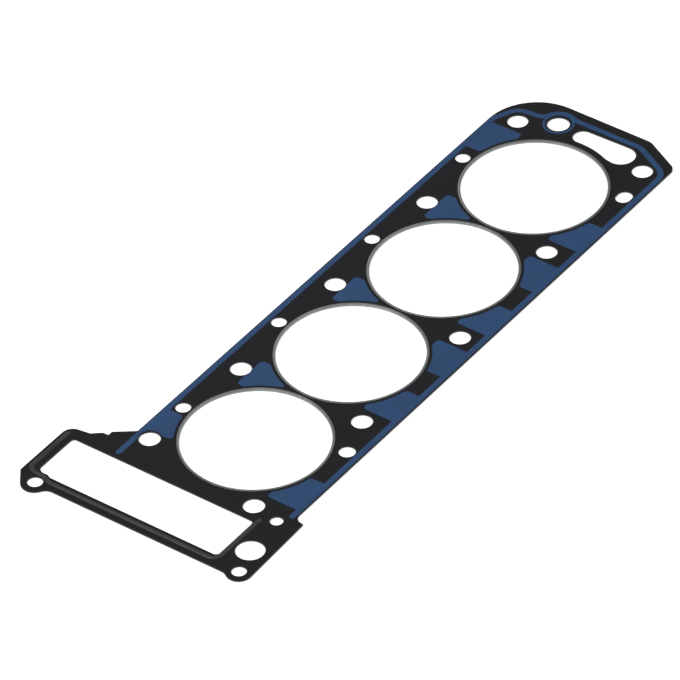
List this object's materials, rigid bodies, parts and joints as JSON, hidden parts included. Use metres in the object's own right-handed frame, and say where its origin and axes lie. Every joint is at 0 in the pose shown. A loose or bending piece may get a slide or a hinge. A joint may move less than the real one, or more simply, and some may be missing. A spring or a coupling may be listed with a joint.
{
  "type": "cylinder head gasket",
  "caption": "Flat laminated gasket that seals an in-line engine's cylinder head to its block, with steel-edged bores, a sealing print and a rubber bead round the timing chain chamber.",
  "frame": {"origin": "centre of the underside box; z = 0 is the plane of the lower eyelet flanges", "axes": "+X along the row of bores from the chain chamber to the rear, +Y across the engine towards the side where the chain frame rises past the deck, +Z from the block to the head"},
  "size_m": [0.5074, 0.1804, 0.0023],
  "materials": {
    "core_steel": "plain cold-rolled sheet",
    "facing": "matte to satin, non-stick coated fibre and elastomer composite",
    "seal_print": "satin silicone print",
    "bead_rubber": "satin moulded rubber",
    "eyelet_steel": "plain folded steel, slightly dull"
  },
  "bodies": {
    "root": {"lower_facing": "facing", "core_plate": "core_steel", "upper_facing": "facing", "lower_seal_print": "seal_print", "upper_seal_print": "seal_print", "chain_frame_bead": "bead_rubber", "bore_eyelet_1": "eyelet_steel", "bore_eyelet_2": "eyelet_steel", "bore_eyelet_3": "eyelet_steel", "bore_eyelet_4": "eyelet_steel"}
  },
  "joints": []
}
